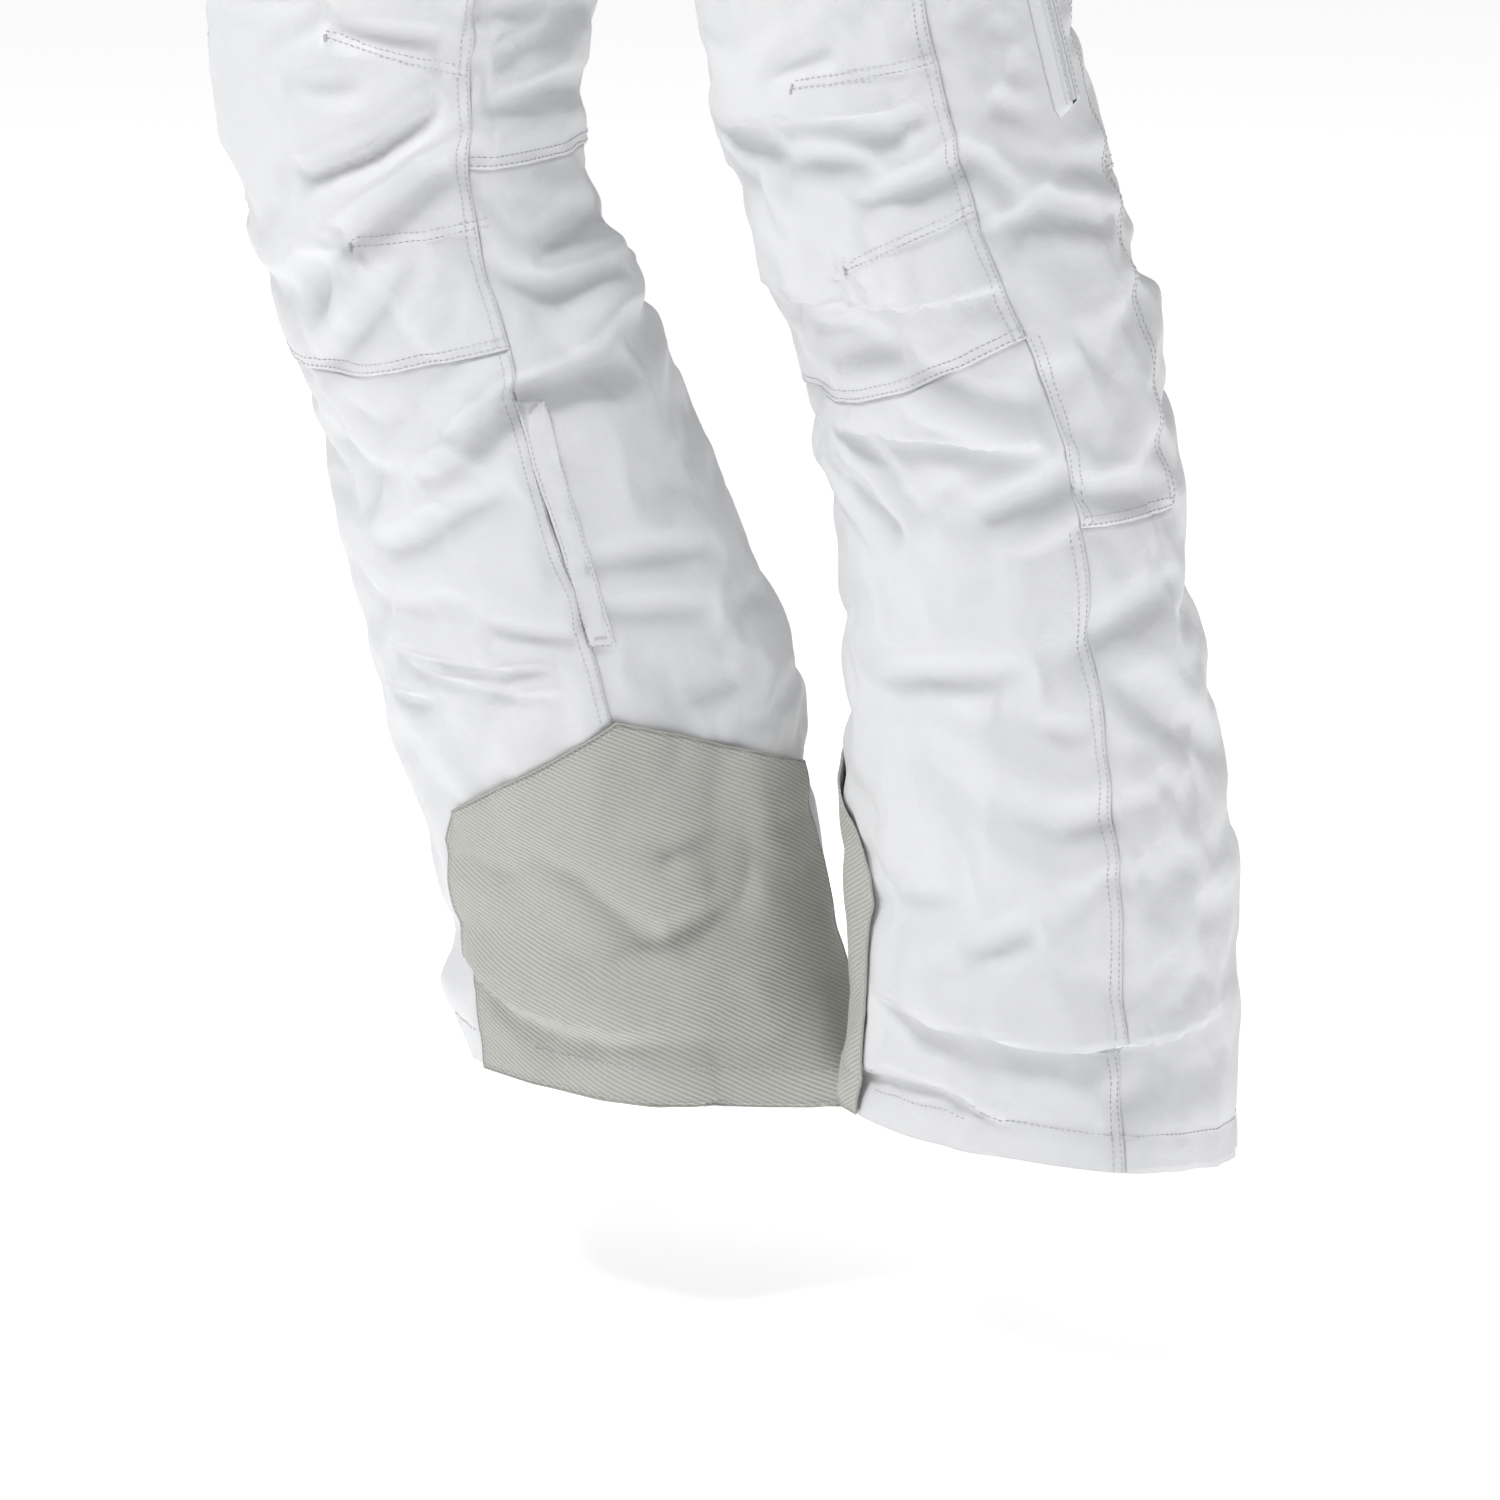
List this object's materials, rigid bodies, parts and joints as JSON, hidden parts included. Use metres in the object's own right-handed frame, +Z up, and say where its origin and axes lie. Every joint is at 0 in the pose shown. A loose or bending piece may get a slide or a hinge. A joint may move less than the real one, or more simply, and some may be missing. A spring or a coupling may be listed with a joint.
{
  "type": "ski pants",
  "caption": "Insulated ski pants as worn in a walking stance, with panelled legs, twill scuff guards, zipped pockets, thigh vents and snow gaiters.",
  "frame": {"origin": "middle of the waist opening", "axes": "+Z up along the wearer, -Y the way the wearer faces, +X the wearer's left"},
  "size_m": [0.4264, 0.5004, 1.0959],
  "materials": {
    "shell_fabric": "satin, soft white",
    "guard_twill": "coarse twill, warm light grey",
    "lining": "smooth woven",
    "zip_tape": "woven tape",
    "zip_metal": "satin metal",
    "grip_elastic": "matt",
    "hook_pad": "hook tape"
  },
  "bodies": {
    "pants": {"front_panel_left": "shell_fabric", "shin_panel_left": "shell_fabric", "side_panel_left": "shell_fabric", "seat_panel_left": "shell_fabric", "calf_panel_left": "shell_fabric", "waistband_left": "shell_fabric", "lining_left": "lining", "scuff_guard_left": "guard_twill", "gaiter_left": "lining", "gaiter_elastic_left": "grip_elastic", "lace_hook_left": "zip_metal", "front_panel_right": "shell_fabric", "shin_panel_right": "shell_fabric", "side_panel_right": "shell_fabric", "seat_panel_right": "shell_fabric", "calf_panel_right": "shell_fabric", "waistband_right": "shell_fabric", "lining_right": "lining", "scuff_guard_right": "guard_twill", "gaiter_right": "lining", "gaiter_elastic_right": "grip_elastic", "lace_hook_right": "zip_metal", "pocket_left_zip": "zip_tape", "vent_left_zip": "zip_tape", "pocket_right_zip": "zip_tape", "vent_right_zip": "zip_tape", "fly_zip": "zip_tape", "waist_snap": "zip_metal", "belt_loop_front_left": "shell_fabric", "belt_loop_side_left": "shell_fabric", "belt_loop_front_right": "shell_fabric", "belt_loop_side_right": "shell_fabric", "belt_loop_back": "shell_fabric", "pocket_bag_left": "lining", "waist_pad_left": "hook_pad", "calf_placket_left": "shell_fabric", "pocket_bag_right": "lining", "waist_pad_right": "hook_pad", "calf_placket_right": "shell_fabric", "fly_underlap": "lining"},
    "fly_slider": {"fly_slider": "zip_metal"},
    "fly_puller": {"fly_puller": "zip_metal"},
    "pocket_left_slider": {"pocket_left_slider": "zip_metal"},
    "pocket_left_puller": {"pocket_left_puller": "zip_metal"},
    "pocket_right_slider": {"pocket_right_slider": "zip_metal"},
    "pocket_right_puller": {"pocket_right_puller": "zip_metal"},
    "vent_left_slider": {"vent_left_slider": "zip_metal"},
    "vent_left_puller": {"vent_left_puller": "zip_metal"},
    "vent_right_slider": {"vent_right_slider": "zip_metal"},
    "vent_right_puller": {"vent_right_puller": "zip_metal"},
    "waist_tab_left": {"waist_tab_left": "shell_fabric"},
    "waist_tab_right": {"waist_tab_right": "shell_fabric"},
    "seat_pocket_flap": {"seat_pocket_flap": "shell_fabric"}
  },
  "joints": [
    {"name": "fly_zip_run", "type": "slide", "parent": "pants", "child": "fly_slider", "axis": [0, -0.0431, -0.9991], "range_m": [0, 0.125]},
    {"name": "fly_puller_swing", "type": "hinge", "parent": "fly_slider", "child": "fly_puller", "pos_m": [0.00003, -0.13566, -0.05798], "axis": [-1, -0.0022, 0.0001], "range_deg": [0, 150]},
    {"name": "pocket_left_zip_run", "type": "slide", "parent": "pants", "child": "pocket_left_slider", "axis": [0.1347, -0.021, -0.9907], "range_m": [0, 0.137]},
    {"name": "pocket_left_puller_swing", "type": "hinge", "parent": "pocket_left_slider", "child": "pocket_left_puller", "pos_m": [0.1509, -0.07575, -0.06751], "axis": [-0.6787, -0.7304, -0.0768], "range_deg": [0, 150]},
    {"name": "pocket_right_zip_run", "type": "slide", "parent": "pants", "child": "pocket_right_slider", "axis": [-0.1336, -0.1341, -0.9819], "range_m": [0, 0.137]},
    {"name": "pocket_right_puller_swing", "type": "hinge", "parent": "pocket_right_slider", "child": "pocket_right_puller", "pos_m": [-0.14938, -0.07526, -0.06717], "axis": [-0.7046, 0.7096, -0.001], "range_deg": [0, 150]},
    {"name": "vent_left_zip_run", "type": "slide", "parent": "pants", "child": "vent_left_slider", "axis": [-0.0152, 0.2787, -0.9603], "range_m": [0, 0.191]},
    {"name": "vent_left_puller_swing", "type": "hinge", "parent": "vent_left_slider", "child": "vent_left_puller", "pos_m": [0.19809, 0.09432, -0.30115], "axis": [0.544, -0.8035, -0.2418], "range_deg": [0, 150]},
    {"name": "vent_right_zip_run", "type": "slide", "parent": "pants", "child": "vent_right_slider", "axis": [0.0097, -0.3022, -0.9532], "range_m": [0, 0.191]},
    {"name": "vent_right_puller_swing", "type": "hinge", "parent": "vent_right_slider", "child": "vent_right_puller", "pos_m": [-0.19687, 0.01515, -0.3033], "axis": [0.5468, 0.7997, -0.248], "range_deg": [0, 150]},
    {"name": "waist_tab_left_peel", "type": "hinge", "parent": "pants", "child": "waist_tab_left", "pos_m": [0.15985, 0.03796, -0.01963], "axis": [0.1788, 0.0319, -0.9834], "range_deg": [0, 60]},
    {"name": "waist_tab_right_peel", "type": "hinge", "parent": "pants", "child": "waist_tab_right", "pos_m": [-0.15985, 0.03796, -0.01963], "axis": [0.1788, -0.0319, 0.9834], "range_deg": [0, 60]},
    {"name": "seat_pocket_flap_lift", "type": "hinge", "parent": "pants", "child": "seat_pocket_flap", "pos_m": [-0.11655, 0.0983, -0.09156], "axis": [0.8473, 0.531, 0], "range_deg": [0, 95]}
  ]
}
